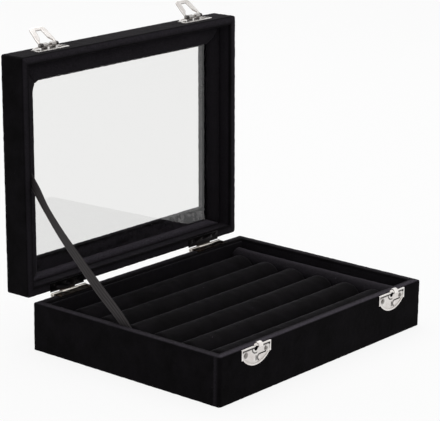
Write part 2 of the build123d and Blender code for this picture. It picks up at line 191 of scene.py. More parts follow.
raw_board, tree, shader, place = new_finish("raw_fibreboard")
fibres = add_node(tree, "ShaderNodeTexNoise", {
    "Vector": place, "Scale": 1 / (fibre_length * mm), "Detail": 4.0})["Fac"]
brown = add_node(tree, "ShaderNodeValToRGB", {"Fac": fibres}, ramp=((0.0, "#7d6041"), (1.0, "#bd9a70")))
grain = add_node(tree, "ShaderNodeBump", {"Height": fibres, "Strength": 0.3, "Distance": 0.1 * mm})
set_inputs(tree, shader, {"Base Color": brown["Color"], "Roughness": 0.85, "Normal": grain["Normal"]})

boards = ["base_bottom_board", "window_panel"]
for side in ("front", "back", "left", "right"):
    boards += [f"base_{side}_board", f"lid_{side}_board"]
for board in boards:
    for slot in frame["nodes"][board].material_slots:
        slot.material = raw_board


# Base wrap -----------------------------------------------------------------------------------
# One strip of short-pile black velvet, glued round the outside of the base walls, over the rim
# and down the inside.  Its ends meet in an upright joint on the left side, beside the front corner.
box_half_length, box_half_depth, base_rim = 100.0, 75.0, 30.8
wall, cloth, underside_top, board_floor = 5.5, 0.5, 0.6, 3.6
outer_corner, least_corner, rim_round = 1.3, 0.3, 0.8
side_steps, corner_steps, height_step = (160, 120, 160, 120), 4, 1.3
ring_count = sum(side_steps) + 4 * corner_steps
pile_depth, pile_patch, pile_stand, rim_stand = 0.16, 2.6, 0.35, 0.06
base_hem, hem_inset, hem_lift = 0.15, 0.25, 0.2
joint_y, joint_height, joint_half, joint_paling, face_depth = -71.8, 0.28, 0.5, 0.9, 0.1
quarter = [math.radians(a) for a in (0, 22.5, 45, 67.5, 90)]
# How pale each band of the section is: on the rim's edges and top partly wear and partly painted sheen; on the
# inner walls, painted light that lifts their shade.
edge_wear_sheen, top_wear_sheen, inner_edge_wear_sheen = (0.0, 0.0, 0.2, 0.8, 1.0), (1.0, 0.9, 0.55), 0.05
base_inner_painted_light = 0.7
brush_patch, pile_drawn, lint_spacing, lint_radius = 14.286, 0.8, 9.091, 0.3182

# Velvet is nearly black from above, because light sinks between its upright fibres, and paler at a
# grazing view, where it catches their tips.  Pile 0.2 mm wide is drawn 0.8 mm, so that it shows.
# Where marked, the pile is grey in patches: partly worn thin where hands and edges rub it, partly
# painted sheen and painted light on rims, crests and shaded inner faces.  A few specks of lint lie on it.
velvet, tree, shader, place = new_finish("black_velvet")
brushed = add_node(tree, "ShaderNodeTexNoise", {
    "Vector": place, "Scale": 1 / (brush_patch * mm), "Detail": 3.0, "Roughness": 0.6})["Fac"]
nap = add_node(tree, "ShaderNodeValToRGB", {"Fac": brushed}, ramp=((0.35, "#040304"), (0.7, "#0e0c0f")))
pile = add_node(tree, "ShaderNodeTexNoise", {
    "Vector": place, "Scale": 1 / (pile_drawn * mm), "Detail": 2.0})["Fac"]
# Painted sheen and wear: marked points are mixed towards pale grey, in patches.
rubbed = add_node(tree, "ShaderNodeAttribute", attribute_name="rubbed")["Fac"]
patchy = add_node(tree, "ShaderNodeMapRange", {
    "Value": pile, "From Min": 0.3, "From Max": 0.7, "To Min": 0.45, "To Max": 1.0})[0]
patchy_wear_sheen = add_node(tree, "ShaderNodeMath", {0: rubbed, 1: patchy}, operation="MULTIPLY")[0]
wear_sheen_colour = add_node(tree, "ShaderNodeMix", {
    "Factor": patchy_wear_sheen, 6: nap["Color"], 7: linear("#454148")}, data_type="RGBA")[2]
specks = add_node(tree, "ShaderNodeTexVoronoi", {
    "Vector": place, "Scale": 1 / (lint_spacing * mm), "Randomness": 1.0})
near = add_node(tree, "ShaderNodeMath", {
    0: specks["Distance"], 1: lint_radius / lint_spacing}, operation="LESS_THAN")[0]
chosen = add_node(tree, "ShaderNodeSeparateColor", {"Color": specks["Color"]})["Red"]
few = add_node(tree, "ShaderNodeMath", {0: chosen, 1: 0.3}, operation="LESS_THAN")[0]
lint = add_node(tree, "ShaderNodeMath", {0: near, 1: few}, operation="MULTIPLY")[0]
dusty = add_node(tree, "ShaderNodeMix", {
    "Factor": lint, 6: wear_sheen_colour, 7: linear("#4a474c")}, data_type="RGBA")[2]
fuzz = add_node(tree, "ShaderNodeBump", {"Height": pile, "Strength": 0.5, "Distance": 0.3 * mm})
set_inputs(tree, shader, {
    "Base Color": dusty, "Normal": fuzz["Normal"], "Roughness": 0.95, "Specular IOR Level": 0.08,
    "Sheen Weight": 0.19, "Sheen Roughness": 0.22, "Sheen Tint": linear("#b4adb8")})


def frame_ring(half_x, half_y, corner, height):
    """A loop of points round the box, with as many on every loop."""
    points = []
    for side, steps in enumerate(side_steps):
        along, across = ((half_x, half_y), (half_y, half_x))[side % 2]
        straight = along - corner
        local = [(straight * (2 * i / steps - 1), -across) for i in range(steps)]
        for i in range(corner_steps):
            turn = math.pi / 2 * (i / corner_steps - 1)
            local.append((straight + corner * math.cos(turn), corner - across + corner * math.sin(turn)))
        c, s = ((1, 0), (0, 1), (-1, 0), (0, -1))[side]
        points += [(x * c - y * s, x * s + y * c, height) for x, y in local]
    return points


def tube_faces(loops, count, ring_closed=True):
    """Quads between neighbouring loops of points; a closed ring joins the last loop to the first."""
    pairs = [(i, (i + 1) % loops) for i in range(loops if ring_closed else loops - 1)]
    return [(a * count + k, a * count + (k + 1) % count, b * count + (k + 1) % count, b * count + k)
            for a, b in pairs for k in range(count)]


def add_piece(name, points, faces, finish, rubbed=None):
    """A smooth mesh piece from points in millimetres, with its faces turned outwards."""
    mesh = bpy.data.meshes.new(name)
    mesh.from_pydata([[c * mm for c in point] for point in points], [], faces)
    if rubbed:
        mesh.attributes.new("rubbed", "FLOAT", "POINT").data.foreach_set("value", rubbed)
    shape = bmesh.new()
    shape.from_mesh(mesh)
    bmesh.ops.recalc_face_normals(shape, faces=shape.faces)
    shape.to_mesh(mesh)
    shape.free()
    mesh.shade_smooth()
    mesh.materials.append(finish)
    return new_object(name, mesh)


def ruffle(piece, depth, patch):
    """Uneven pile: points move in or out by up to a depth, in patches of a size, in millimetres."""
    vertices = piece.data.vertices
    moves = [v.normal * noise.noise(v.co / (patch * mm)) * depth * mm for v in vertices]
    for v, move in zip(vertices, moves):
        v.co += move


def soft_line(distance, half_width):
    """1 on a line, and fading to nothing within about two half widths of it."""
    return math.exp(-(distance / half_width) ** 2)


def round_over(radius, angles, stand=0.0):
    """Inset and depth round an edge, for cloth that stands a little proud of the outer face."""
    return [((radius + stand) * (1 - math.cos(a)) - stand, radius * (1 - math.sin(a))) for a in angles]


def wall_loops(rim, facing, outer_reach, inner_reach, inner_painted_light):
    """Loops of (half x, half y, corner, height, paleness) for cloth round four walls, up the outside,
    over the rim and down the inside; facing is the way the rim faces.  Paleness on the rim is wear
    and painted sheen; on the inner walls it is painted light that lifts their shade."""
    outer_steps = int((outer_reach - rim_round) / height_step)
    inner_steps = int((inner_reach - rim_round) / height_step)
    section = [(hem_inset, outer_reach, 0.0)]
    section += [(-pile_stand, outer_reach - i * height_step - hem_lift, 0.0) for i in range(outer_steps + 1)]
    section += [(*edge, wear_sheen_share) for edge, wear_sheen_share in zip(round_over(rim_round, quarter, pile_stand), edge_wear_sheen)]
    section += [(rim_round + (wall - 2 * rim_round) * (i + 1) / 4, -rim_stand, wear_sheen_share)
                for i, wear_sheen_share in enumerate(top_wear_sheen)]
    section += [(wall - inset, depth, inner_edge_wear_sheen)
                for inset, depth in reversed(round_over(rim_round, quarter))]
    section += [(wall, rim_round + (inner_reach - rim_round) * i / inner_steps, inner_painted_light)
                for i in range(1, inner_steps + 1)]
    section += [(wall - cloth, inner_reach, 0.0), (wall - cloth, cloth, 0.0), (cloth, cloth, 0.0),
                (cloth, outer_reach, 0.0)]
    return [(box_half_length - inset, box_half_depth - inset, max(outer_corner - inset, least_corner),
             rim - facing * depth, wear_sheen_share) for inset, depth, wear_sheen_share in section]


def add_band(name, loops):
    """Velvet round the box, through closed loops."""
    points = [point for loop in loops for point in frame_ring(*loop[:4])]
    wear_sheen_share = [loop[4] for loop in loops for _ in range(ring_count)]
    return add_piece(name, points, tube_faces(len(loops), ring_count), velvet, wear_sheen_share)


def side_wear_and_sheen(piece, front, back, left, right):
    """Scale a wrap's paler edge on each wall: wear, by how much hands reach it, and painted sheen, by how light
    falls.
    """
    wear_sheen_share = piece.data.attributes["rubbed"].data
    for v in piece.data.vertices:
        x, y = v.co.x / mm, v.co.y / mm
        if abs(y) - box_half_depth > abs(x) - box_half_length:
            wear_sheen_share[v.index].value *= front if y < 0 else back
        else:
            wear_sheen_share[v.index].value *= left if x < 0 else right
    return wear_sheen_share


loops = wall_loops(base_rim, 1, base_rim - base_hem, base_rim - board_floor, base_inner_painted_light)
base_wrap = add_band("base_wrap_velvet", loops)
# Paler rims, partly wear and partly painted sheen: most on the front, where the light falls.
wear_sheen_share = side_wear_and_sheen(base_wrap, front=1.0, back=0.35, left=0.55, right=0.3)
# Along the joint the cloth stands a little proud and is paler.
for v in base_wrap.data.vertices:
    if v.co.x < -(box_half_length - face_depth) * mm:
        near_joint = soft_line(v.co.y / mm - joint_y, joint_half)
        v.co.x -= joint_height * mm * near_joint
        wear_sheen_share[v.index].value = max(wear_sheen_share[v.index].value, joint_paling * near_joint)
ruffle(base_wrap, pile_depth, pile_patch)
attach(base_wrap, "base")
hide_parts("base_velvet_wrap")


# Underside sheet -----------------------------------------------------------------------------
# A sheet of black flocked paper, cut with rounded corners and glued under the base over the
# turned-in edges of the velvet.  Its edge is pressed thin.
sheet_inset, sheet_middle, sheet_edge, sheet_foot = 0.6, 6, 0.15, 0.2
flock_fleck = 1.111

# Flock is short fibre shot on to glue: dull, black, and finely flecked where fibres lie down.
flock, tree, shader, place = new_finish("black_flocked_paper")
flecks = add_node(tree, "ShaderNodeTexNoise", {
    "Vector": place, "Scale": 1 / (flock_fleck * mm), "Detail": 3.0})["Fac"]
shade = add_node(tree, "ShaderNodeValToRGB", {"Fac": flecks}, ramp=((0.0, "#0d0d0f"), (1.0, "#1d1d20")))
grit = add_node(tree, "ShaderNodeBump", {"Height": flecks, "Strength": 0.4, "Distance": 0.2 * mm})
set_inputs(tree, shader, {
    "Base Color": shade["Color"], "Normal": grit["Normal"], "Roughness": 0.9, "Specular IOR Level": 0.15,
    "Sheen Weight": 0.1})

section = [(sheet_middle, 0.0), (sheet_inset + sheet_foot, 0.0), (sheet_inset, sheet_edge),
           (sheet_inset, underside_top - sheet_edge), (sheet_inset + sheet_edge, underside_top),
           (sheet_middle, underside_top)]
points = [point for inset, z in section
          for point in frame_ring(box_half_length - inset, box_half_depth - inset, outer_corner, z)]
faces = tube_faces(len(section), ring_count, ring_closed=False)
faces += [tuple(range(ring_count)), tuple(range(len(points) - ring_count, len(points)))]
underside = add_piece("underside_flocked_sheet", points, faces, flock)
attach(underside, "base")
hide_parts("underside_sheet")


# Tray lining and liner strips ----------------------------------------------------------------
# The tray floor is lined with a laid sheet of the same velvet.  A strip of velvet-covered card
# stands inside the front wall and another inside the back wall, a little below the rim.
inner_x, inner_y = box_half_length - wall, box_half_depth - wall
tray_floor, liner_thickness, liner_top = 4.1, 1.5, 29.3
lining_round, card_round, card_pile, card_patch = 0.2, 0.5, 0.12, 3.0
# Painted sheen on the back liner, whose face catches the light.
liner_sheen = {"front": 0.0, "back": 0.13}


def slice_mesh(shape, axis, place):
    """Cut through a mesh across an axis, without parting it."""
    cut, normal = Vector((0, 0, 0)), Vector((0, 0, 0))
    cut[axis], normal[axis] = place, 1
    bmesh.ops.bisect_plane(shape, geom=shape.verts[:] + shape.edges[:] + shape.faces[:],
                           plane_co=cut, plane_no=normal)


def soft_bar(name, low, high, edge, steps, rubbed):
    """A velvet bar with rounded edges between two corners, closed, with even faces."""
    sizes = [high[i] - low[i] for i in range(3)]
    middle = [(high[i] + low[i]) / 2 for i in range(3)]
    shape = bmesh.new()
    bmesh.ops.create_cube(shape, size=1.0)
    for v in shape.verts:
        v.co = Vector([v.co[i] * sizes[i] for i in range(3)])
    bmesh.ops.bevel(shape, geom=shape.edges[:], offset=edge, segments=3, affect="EDGES", profile=0.5)
    for axis in range(3):
        for i in range(1, steps[axis]):
            slice_mesh(shape, axis, (i / steps[axis] - 0.5) * (sizes[axis] - 2 * edge))
    shape.verts.index_update()
    points = [[v.co[i] + middle[i] for i in range(3)] for v in shape.verts]
    faces = [[v.index for v in face.verts] for face in shape.faces]
    shape.free()
    return add_piece(name, points, faces, velvet, [rubbed] * len(points))


lining = soft_bar("tray_lining_velvet", (-inner_x, -inner_y, board_floor), (inner_x, inner_y, tray_floor),
                  lining_round, (60, 44, 1), 0.0)
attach(lining, "base")
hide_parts("tray_lining")

for side, facing in (("front", -1), ("back", 1)):
    near, far = sorted((facing * inner_y, facing * (inner_y - liner_thickness)))
    liner = soft_bar(f"{side}_liner_velvet", (-inner_x, near, tray_floor), (inner_x, far, liner_top),
                     card_round, (120, 1, 14), liner_sheen[side])
    ruffle(liner, card_pile, card_patch)
    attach(liner, "base")
    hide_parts(f"{side}_liner")


# Ring rolls and end pads ---------------------------------------------------------------------
# Six foam bolsters covered with velvet lie side by side, and the rings are pushed in between them.
# A narrower, higher ridge of the same make closes their ends on each side.
roll_pitch, roll_half_width, roll_crown, roll_shoulder, roll_space = 22.2, 10.8, 25.5, 1.2, 11.05
roll_half_length, roll_end_length, roll_end_drop, roll_end_taper = 81.0, 3.2, 2.6, 0.3
pad_middle, pad_half_width, pad_side_top, pad_crown, pad_half_length = 87.4, 6.1, 21.6, 27.0, 67.6
# Painted sheen on the end pads: a little on their sides, more on their tops, most along the crest.
pad_side_sheen, pad_top_sheen, pad_ridge_sheen, pad_ridge_half, pad_sheen_below = 0.1, 0.24, 0.3, 2.2, 2
section_points, section_step, arc_steps = 40, 1.6, 20
end_shares = (0.72, 0.44, 0.2)  # of its section, for the rings that close a bolster's end
cover_depth, cover_patch = 0.22, 4.5
swell_scale, swell_pressure, swell_frames, swell_most, swell_room = 10.0, 4.0, 20, 0.7, 0.2
start_share = 0.965  # of its full size, from which a pad swells
glue_height = 0.1


def evenly(line, count):
    """Points spaced evenly along a closed line."""
    line = line + line[:1]
    runs = [0.0]
    for a, b in zip(line, line[1:]):
        runs.append(runs[-1] + math.dist(a, b))
    points, k = [], 0
    for i in range(count):
        reach = runs[-1] * i / count
        while runs[k + 1] < reach:
            k += 1
        share = (reach - runs[k]) / (runs[k + 1] - runs[k])
        points.append(tuple(p + (q - p) * share for p, q in zip(line[k], line[k + 1])))
    return points


def domed_section(half_width, foot, side_top, crown, count):
    """Points (across, up) round a section with a flat foot, upright sides and an arc on top."""
    rise = crown - side_top
    radius = (half_width ** 2 + rise ** 2) / (2 * rise)
    sweep = math.asin(min(1.0, half_width / radius))
    turns = [sweep * (1 - i / arc_steps) for i in range(2 * arc_steps + 1)]
    arc = [(radius * math.sin(turn), crown - radius + radius * math.cos(turn)) for turn in turns]
    return evenly([(0, foot), (half_width, foot)] + arc + [(-half_width, foot)], count)


def bolster(name, places):
    """A closed padded piece through sections; each place gives a section's points in millimetres."""
    count = len(places[0])
    points = [point for section in places for point in section]
    faces = tube_faces(len(places), count, ring_closed=False)
    for end in (0, len(places) - 1):
        section = places[end]
        middle = [sum(p[i] for p in section) / count for i in range(3)]
        before = end * count
        for share in end_shares:
            first = len(points)
            points += [[m + (c - m) * share for c, m in zip(p, middle)] for p in section]
            faces += [(before + k, before + (k + 1) % count, first + (k + 1) % count, first + k)
                      for k in range(count)]
            before = first
        points.append(middle)
        faces += [(before + k, before + (k + 1) % count, len(points) - 1) for k in range(count)]
    return add_piece(name, points, faces, velvet)


def swell(piece, low, high):
    """Fill a padded piece by a short cloth simulation, ten times up so that the settings for cushions
    hold.  Its foot is glued down, and no point leaves the space between two corners."""
    mesh = piece.data
    start = [v.co.copy() for v in mesh.vertices]
    trial = new_object("trial", mesh.copy())
    trial.data.transform(Matrix.Scale(swell_scale, 4))
    foot = [v.index for v in mesh.vertices if v.co.z / mm < tray_floor + glue_height]
    trial.vertex_groups.new(name="glued").add(foot, 1.0, "REPLACE")
    cloth_fill = trial.modifiers.new("swell", "CLOTH")
    cloth_fill.point_cache.frame_end = swell_frames
    settings = cloth_fill.settings
    settings.vertex_group_mass = "glued"
    settings.use_pressure = True
    settings.uniform_pressure_force = swell_pressure
    settings.effector_weights.gravity = 0
    for step in range(1, swell_frames + 1):
        scene.frame_set(step)
    swollen = trial.evaluated_get(bpy.context.evaluated_depsgraph_get())
    for v, rest, moved in zip(mesh.vertices, start, swollen.data.vertices):
        shift = moved.co / swell_scale - rest
        if shift.length > swell_most * mm:
            shift *= swell_most * mm / shift.length
        v.co = [min(max(c, a * mm), b * mm) for c, a, b in zip(rest + shift, low, high)]
    scene.frame_set(1)
    bpy.data.objects.remove(trial)


def finish_pad(piece):
    """One subdivision."""
    smooth = piece.modifiers.new("subdivision", "SUBSURF")
    smooth.levels = smooth.render_levels = 1


def paint_sheen(piece, share):
    """Mark painted sheen on padded cloth: a share of paler colour that stands in for light on it."""
    wear_sheen_share = piece.data.attributes.new("rubbed", "FLOAT", "POINT").data
    for v in piece.data.vertices:
        wear_sheen_share[v.index].value = share(v.co / mm)


def spread(half, step):
    """Places from -half to half, about a step apart."""
    count = round(2 * half / step)
    return [half * (2 * i / count - 1) for i in range(count + 1)]


for index in range(6):
    middle = (index - 2.5) * roll_pitch
    sections = []
    for x in spread(roll_half_length, section_step):
        share = min(1.0, (roll_half_length - abs(x)) / roll_end_length)
        drop = roll_end_drop * (1 - math.sqrt(1 - (1 - share) ** 2))
        half_width = (roll_half_width - roll_end_taper * drop) * start_share
        crown = roll_crown - drop
        section = domed_section(half_width, tray_floor, crown - half_width + roll_shoulder, crown,
                                section_points)
        sections.append([(x, middle + across, up) for across, up in section])
    roll = bolster(f"ring_roll_{index + 1}_velvet", sections)
    swell(roll, (-roll_half_length, middle - roll_space, tray_floor),
          (roll_half_length, middle + roll_space, roll_crown + swell_room))
    ruffle(roll, cover_depth, cover_patch)
    finish_pad(roll)
    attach(roll, "base")
    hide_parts(f"ring_roll_{index + 1}")

section = domed_section(pad_half_width * start_share, tray_floor, pad_side_top, pad_crown, section_points)
for side, middle in (("left", -pad_middle), ("right", pad_middle)):
    pad = bolster(f"{side}_end_pad_velvet", [[(middle + across, y, up) for across, up in section]
                                             for y in spread(pad_half_length, section_step)])
    swell(pad, (middle - pad_half_width, -pad_half_length, tray_floor),
          (middle + pad_half_width, pad_half_length, pad_crown + swell_room))
    # Painted sheen: the pad's top is paler, most along its crest, as a highlight.
    paint_sheen(pad, lambda p: pad_top_sheen + pad_ridge_sheen * soft_line(p.x - middle, pad_ridge_half)
            if p.z > pad_side_top - pad_sheen_below else pad_side_sheen)
    ruffle(pad, cover_depth, cover_patch)
    finish_pad(pad)
    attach(pad, "base")
    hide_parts(f"{side}_end_pad")


# Lid wraps -----------------------------------------------------------------------------------
# The lid's walls are wrapped like the base's.  A second piece of velvet covers the top of the
# window panel, turns down through the window and is glued back under the panel's border.
lid_rim, panel_top, panel_bottom, lid_top, glass_top = 31.8, 49.5, 45.5, 50.0, 45.0
window_x, window_corner = 81.3, 0.35
hinge_y, hinge_z, open_angle = 77.7, 30.1, math.radians(91.0)
open_cos, open_sin = math.cos(open_angle), math.sin(open_angle)
# The fold's edges are paler, partly wear and partly painted sheen; the panel's border under the glass and the
# lid's inner walls are paler as painted light that lifts their shade.
fold_round, fold_wear_sheen, under_painted_light, reveal_step = 0.42, 0.5, 0.6, 1.1
lid_inner_painted_light = 1.0


def swing_open(piece):
    """Turn a piece drawn on the closed lid back about the hinge pins, to where the ribbon stops it."""
    for v in piece.data.vertices:
        x, y, z = v.co / mm
        v.co = Vector((x, hinge_y + (y - hinge_y) * open_cos + (z - hinge_z) * open_sin,
                       hinge_z - (y - hinge_y) * open_sin + (z - hinge_z) * open_cos)) * mm
    piece.data.update()


loops = wall_loops(lid_rim, -1, panel_top - lid_rim, glass_top - lid_rim, lid_inner_painted_light)
lid_wrap = add_band("lid_wrap_velvet", loops)
# Paler rims, partly wear and partly painted sheen where the light falls.
side_wear_and_sheen(lid_wrap, front=0.5, back=0.35, left=0.3, right=0.4)
ruffle(lid_wrap, pile_depth, pile_patch)
swing_open(lid_wrap)
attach(lid_wrap, "lid")
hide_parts("lid_velvet_wrap")

fold = [math.radians(a) for a in (0, 30, 60, 90)]
border = box_half_length - window_x
section = [(inset, lid_top - depth, fold_wear_sheen) for inset, depth in round_over(fold_round, fold, pile_stand)]
section += [(fold_round + (border - 2 * fold_round) * i / 12, lid_top, 0.0) for i in range(1, 12)]
section += [(border - inset, lid_top - depth, fold_wear_sheen)
            for inset, depth in reversed(round_over(fold_round, fold))]
section += [(border, lid_top - fold_round - i * reveal_step, 0.0) for i in (1, 2, 3)]
section += [(border, glass_top, 0.0)]
section += [(border + (wall - cloth - border) * i / 6, glass_top, under_painted_light) for i in range(1, 7)]
section += [(wall - cloth, panel_bottom, 0.0), (border - cloth, panel_bottom, 0.0),
            (border - cloth, panel_top, 0.0), (0.0, panel_top, 0.0)]
loops = [(box_half_length - inset, box_half_depth - inset, max(outer_corner - inset, window_corner), z, wear_sheen_share)
         for inset, z, wear_sheen_share in section]
panel_wrap = add_band("panel_velvet_wrap", loops)
ruffle(panel_wrap, pile_depth, pile_patch)
swing_open(panel_wrap)
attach(panel_wrap, "lid")
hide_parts("panel_velvet")


# Window glass --------------------------------------------------------------------------------
# A 2 mm pane of float glass with ground edges, laid in the lid before the strips.  Clear, with a
# trace of grey, and it mirrors the white table faintly where something dark stands behind it.
smear_size = 45.455

glass, tree, shader, place = new_finish("float_glass")
smears = add_node(tree, "ShaderNodeTexNoise", {
    "Vector": place, "Scale": 1 / (smear_size * mm), "Detail": 5.0})["Fac"]
haze = add_node(tree, "ShaderNodeMapRange", {
    "Value": smears, "From Min": 0.45, "From Max": 0.8, "To Min": 0.0, "To Max": 0.03})[0]
set_inputs(tree, shader, {
    "Base Color": linear("#eeeeed"), "Transmission Weight": 1.0, "IOR": 1.52, "Roughness": haze})
for slot in frame["nodes"]["window_glass"].material_slots:
    slot.material = glass


# Glass strips --------------------------------------------------------------------------------
# Four foam-padded strips covered with velvet, glued to the lid's walls under the glass to hold it
# up.  They are mitred, the cloth is tucked in at the mitres, and the hinge side's strip is narrow.
strip_foot, strip_side, strip_crown, strip_play, strip_points = 43.0, 41.4, 39.0, 0.1, 32
strip_widths = {"front": 12.2, "back": 4.8, "left": 12.2, "right": 12.2}
# Painted sheen on each strip, as paler cloth where light catches it; the hinge side's strip most.
strip_sheen = {"front": 0.3, "back": 0.95, "left": 0.3, "right": 0.18}
tuck_depth, tuck_reach, strip_pile, strip_patch = 0.5, 1.6, 0.14, 3.0
bunch_radius, bunch_fade = 8.0, 7.0


def bunch(strip):
    """Round the front left corner inside the strips, where the cloth bunches in front of the glass."""
    for v in strip.data.vertices:
        x = v.co.x / mm + inner_x - strip_widths["left"]
        y = v.co.y / mm + inner_y - strip_widths["front"]
        along = abs(x - y)
        if along < bunch_radius:
            turn = math.pi / 4 * (1 - along / bunch_radius)
            fade = math.exp(-abs(min(x, y)) / bunch_fade)
            inward = bunch_radius * (1 - math.cos(turn)) * fade
            onward = (bunch_radius * (1 - math.sin(turn)) - along) * fade
            v.co += Vector((inward, onward, 0) if x < y else (onward, inward, 0)) * mm


for side, width in strip_widths.items():
    along_x = side in ("front", "back")
    outward = -1 if side in ("front", "left") else 1
    half_run, wall_place = (inner_x, inner_y) if along_x else (inner_y, inner_x)
    low_slant, high_slant = [strip_widths[end] / width
                             for end in (("left", "right") if along_x else ("front", "back"))]
    # The dome hangs down, so it is drawn upwards from the foot and then mirrored about it.
    outline = [(a, 2 * strip_foot - up) for a, up in
               domed_section(width / 2 - strip_play, strip_foot, 2 * strip_foot - strip_side,
                             2 * strip_foot - strip_crown, strip_points)]
    count = round(2 * half_run / section_step)
    sections = []
    for i in range(count + 1):
        points = []
        for a, up in outline:
            from_wall = a + width / 2
            low_end = -half_run + from_wall * low_slant
            high_end = half_run - from_wall * high_slant
            along = low_end + (high_end - low_end) * (i / count)
            from_end = min(along - low_end, high_end - along)
            tuck = tuck_depth * soft_line(from_end, tuck_reach) if up < strip_side else 0.0
            across = outward * (wall_place - from_wall)
            points.append((along, across, up + tuck) if along_x else (across, along, up + tuck))
        sections.append(points)
    strip = bolster(f"{side}_glass_strip_velvet", sections)
    bunch(strip)
    # Painted sheen: the whole strip is made paler by its share.
    paint_sheen(strip, lambda p: strip_sheen[side])
    ruffle(strip, strip_pile, strip_patch)
    swing_open(strip)
    finish_pad(strip)
    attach(strip, "lid")
    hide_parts(f"{side}_glass_strip")


# Hinges --------------------------------------------------------------------------------------
# Two small butt hinges, stamped and rolled from thin brassed steel.  The base's leaves have gone
# brown and the barrels are rubbed bright.  The lid's leaves are lost in shade in the photograph, so
# their near black is painted shade, and a guess.  The pins are wire.
leaf_edge = 0.08
weld, sharp_angle, smooth_angle = 0.002, 40, 35
stain_size, barrel_bright, barrel_clear, lid_shade_low, lid_shade_high = 3.846, 1.6, 1.8, 31.2, 32.2
draw_mark = 1.111

# Brass plating gone brown in patches, under flux and handling, and polished where the leaves turn.
bronzed, tree, shader, place = new_finish("bronzed_brass_plate")
stains = add_node(tree, "ShaderNodeTexNoise", {
    "Vector": place, "Scale": 1 / (stain_size * mm), "Detail": 4.0})["Fac"]
from_pin = add_node(tree, "ShaderNodeVectorMath", {
    0: place, 1: (0, hinge_y * mm, hinge_z * mm)}, operation="SUBTRACT")[0]
across_pin = add_node(tree, "ShaderNodeVectorMath", {0: from_pin, 1: (0, 1, 1)}, operation="MULTIPLY")[0]
reach = add_node(tree, "ShaderNodeVectorMath", {0: across_pin}, operation="LENGTH")["Value"]
barrel = add_node(tree, "ShaderNodeMapRange", {
    "Value": reach, "From Min": barrel_clear * mm, "From Max": barrel_bright * mm})[0]
patina = add_node(tree, "ShaderNodeValToRGB", {"Fac": stains}, ramp=((0.35, "#0c0907"), (0.65, "#3a2a1d")))
height = add_node(tree, "ShaderNodeSeparateXYZ", {0: place})["Z"]
# Painted shade: above the base's rim, the lid's leaves turn near black.
lid_shade_share = add_node(tree, "ShaderNodeMapRange", {
    "Value": height, "From Min": lid_shade_low * mm, "From Max": lid_shade_high * mm})[0]
painted_lid_shade = add_node(tree, "ShaderNodeMix", {
    "Factor": lid_shade_share, 6: patina["Color"], 7: linear("#1a181a")}, data_type="RGBA")[2]
tint = add_node(tree, "ShaderNodeMix", {
    "Factor": barrel, 6: painted_lid_shade, 7: linear("#cfcac2")}, data_type="RGBA")[2]
dull = add_node(tree, "ShaderNodeMapRange", {"Value": stains, "To Min": 0.2, "To Max": 0.45})[0]
set_inputs(tree, shader, {"Base Color": tint, "Metallic": 1.0, "Roughness": dull})

# Drawn wire, bare and grey, with fine marks from the die that are drawn coarser so that they show.
steel, tree, shader, place = new_finish("bright_steel")
drawn = add_node(tree, "ShaderNodeTexNoise", {
    "Vector": place, "Scale": 1 / (draw_mark * mm), "Detail": 2.0})["Fac"]
silver = add_node(tree, "ShaderNodeValToRGB", {"Fac": drawn}, ramp=((0.0, "#5d5855"), (1.0, "#a39f9a")))
dull = add_node(tree, "ShaderNodeMapRange", {"Value": drawn, "To Min": 0.2, "To Max": 0.4})[0]
set_inputs(tree, shader, {"Base Color": silver["Color"], "Metallic": 1.0, "Roughness": dull})


def dress_metal(node, finish, edge):
    """A stamped piece in the CAD node's own shape, its sharp edges eased by the tumbling barrel."""
    source = frame["nodes"][node]
    shape = bmesh.new()
    shape.from_mesh(source.data)
    bmesh.ops.remove_doubles(shape, verts=shape.verts[:], dist=weld * mm)
    bmesh.ops.dissolve_limit(shape, angle_limit=math.radians(1), verts=shape.verts[:],
                             edges=shape.edges[:])
    sharp = [e for e in shape.edges
             if len(e.link_faces) == 2 and e.calc_face_angle() > math.radians(sharp_angle)]
    bmesh.ops.bevel(shape, geom=sharp, offset=edge * mm, segments=2, affect="EDGES", profile=0.6,
                    clamp_overlap=True)
    mesh = bpy.data.meshes.new(f"{node}_metal")
    shape.to_mesh(mesh)
    shape.free()
    for spare in [a.name for a in mesh.attributes if a.name == "custom_normal"]:
        mesh.attributes.remove(mesh.attributes[spare])
    mesh.shade_smooth()
    mesh.set_sharp_from_angle(angle=math.radians(smooth_angle))
    mesh.materials.clear()
    mesh.materials.append(finish)
    piece = new_object(f"{node}_metal", mesh)
    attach(piece, source["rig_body"])
    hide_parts(node)
    return piece


for side in ("left", "right"):
    dress_metal(f"{side}_hinge_base_leaf", bronzed, leaf_edge)
    dress_metal(f"{side}_hinge_lid_leaf", bronzed, leaf_edge)
    dress_metal(f"{side}_hinge_pin", steel, leaf_edge)


# Catch plates, latch plates and loops --------------------------------------------------------
# Stamped steel, nickel-plated after stamping.  Each plate has a raised border; the base's plate has
# the hook, its window and a spring bump, and the lid's has two rolled ears for the loop's pin.
plate_edge = 0.12
latch_middle, plate_half, arc_radius, arc_rise, plate_border = 68.0, 13.5, 16.28, 4.28, 1.1
nail_out, nail_down, catch_edge, latch_edge = 9.4, 4.2, 30.4, 36.8
window_down, boss_radius, hook_half, hook_root = 1.9, 3.5, 2.1, -76
hook_y, hook_z, hook_bore = -77.2, 30.9, 1.6
bump_out, bump_down, bump_foot, bump_slope = 3.0, 8.0, 1.45, 0.3
pivot_y, pivot_z, barrel_radius = 91.7156, 185.5791, 1.3
cloud_size, peel_size = 5.556, 1.4286
field_dull, hook_shadow, loop_dull = 0.13, 0.6, 0.25
groove_in, groove_half, groove_reach, ring_radius, ring_half = 0.35, 0.55, 2.4, 1.5, 0.45
root_radius, root_half, catch_step, latch_step = 2.0, 0.7, 0.45, 0.6

